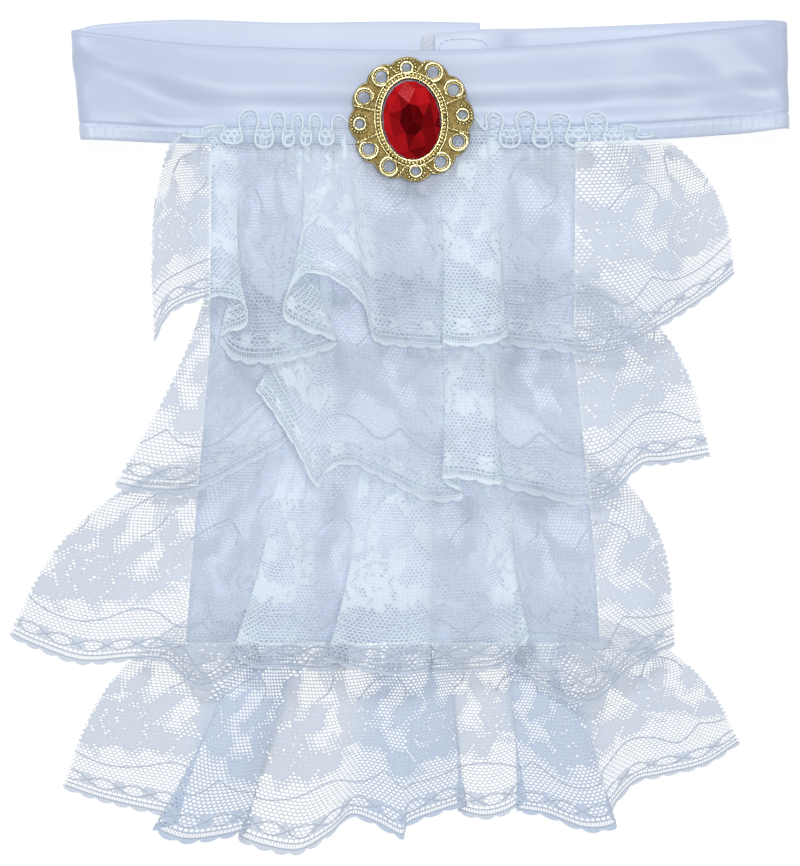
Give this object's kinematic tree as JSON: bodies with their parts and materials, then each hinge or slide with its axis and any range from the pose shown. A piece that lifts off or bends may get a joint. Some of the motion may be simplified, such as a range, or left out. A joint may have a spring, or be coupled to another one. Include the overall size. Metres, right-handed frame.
{
  "type": "lace jabot",
  "caption": "Costume jabot laid flat: a satin neckband closed in a flattened loop, a satin backing panel, gathered tiers of floral lace and an openwork brooch with a faceted stone.",
  "frame": {"origin": "on the flat underside of the backing panel, below the middle of the outline", "axes": "+X to the wearer's left as seen from the front, +Y towards the neck, +Z out of the cloth"},
  "size_m": [0.2108, 0.2262, 0.0164],
  "materials": {
    "satin": "smooth satin with a soft sheen, cool white",
    "loop_tape": "napped loop tape, white",
    "lace": "floral net lace, cool white, matt",
    "gilt_metal": "pale gilt, polished, with sunk parts a little darker",
    "red_stone": "faceted, transparent red resin, glossy"
  },
  "bodies": {
    "root": {"neckband": "satin", "loop_patch": "loop_tape", "backing_panel": "satin", "lace_tier_1": "lace", "lace_tier_2": "lace", "lace_tier_3": "lace", "lace_tier_4": "lace", "brooch_frame": "gilt_metal", "brooch_stone": "red_stone"}
  },
  "joints": []
}
